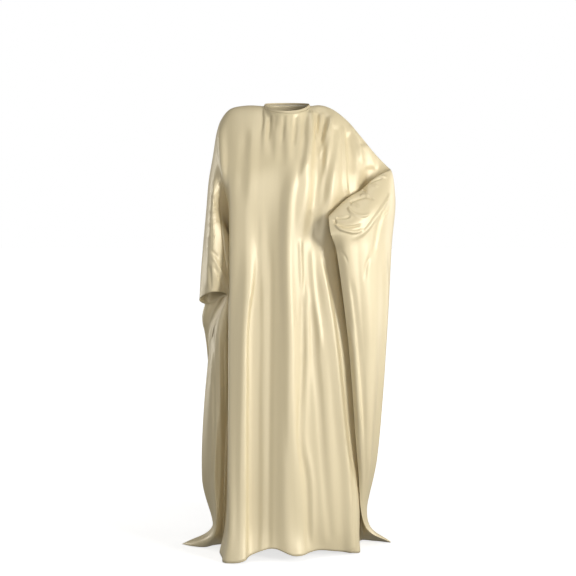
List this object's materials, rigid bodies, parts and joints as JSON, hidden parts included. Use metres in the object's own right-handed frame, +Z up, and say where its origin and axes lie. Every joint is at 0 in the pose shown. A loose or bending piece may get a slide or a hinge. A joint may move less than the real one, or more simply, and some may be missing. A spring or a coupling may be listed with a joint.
{
  "type": "abaya",
  "caption": "Loose floor-length batwing abaya in plain satin, in worn form: one sleeve hangs, the other is bent towards the hip, and soft folds fall from the gathered neckline to the hem.",
  "frame": {"origin": "half way between the two neck points, where the neckline meets the over-arm seams and the garment rests on the shoulders", "axes": "+Z up, -Y towards the front of the garment, +X towards the side of the bent sleeve"},
  "size_m": [0.7094, 0.4131, 1.4775],
  "materials": {
    "satin": "satin",
    "binding": "satin"
  },
  "bodies": {
    "root": {"front_panel": "satin", "back_panel": "satin", "neck_binding": "binding"}
  },
  "joints": []
}
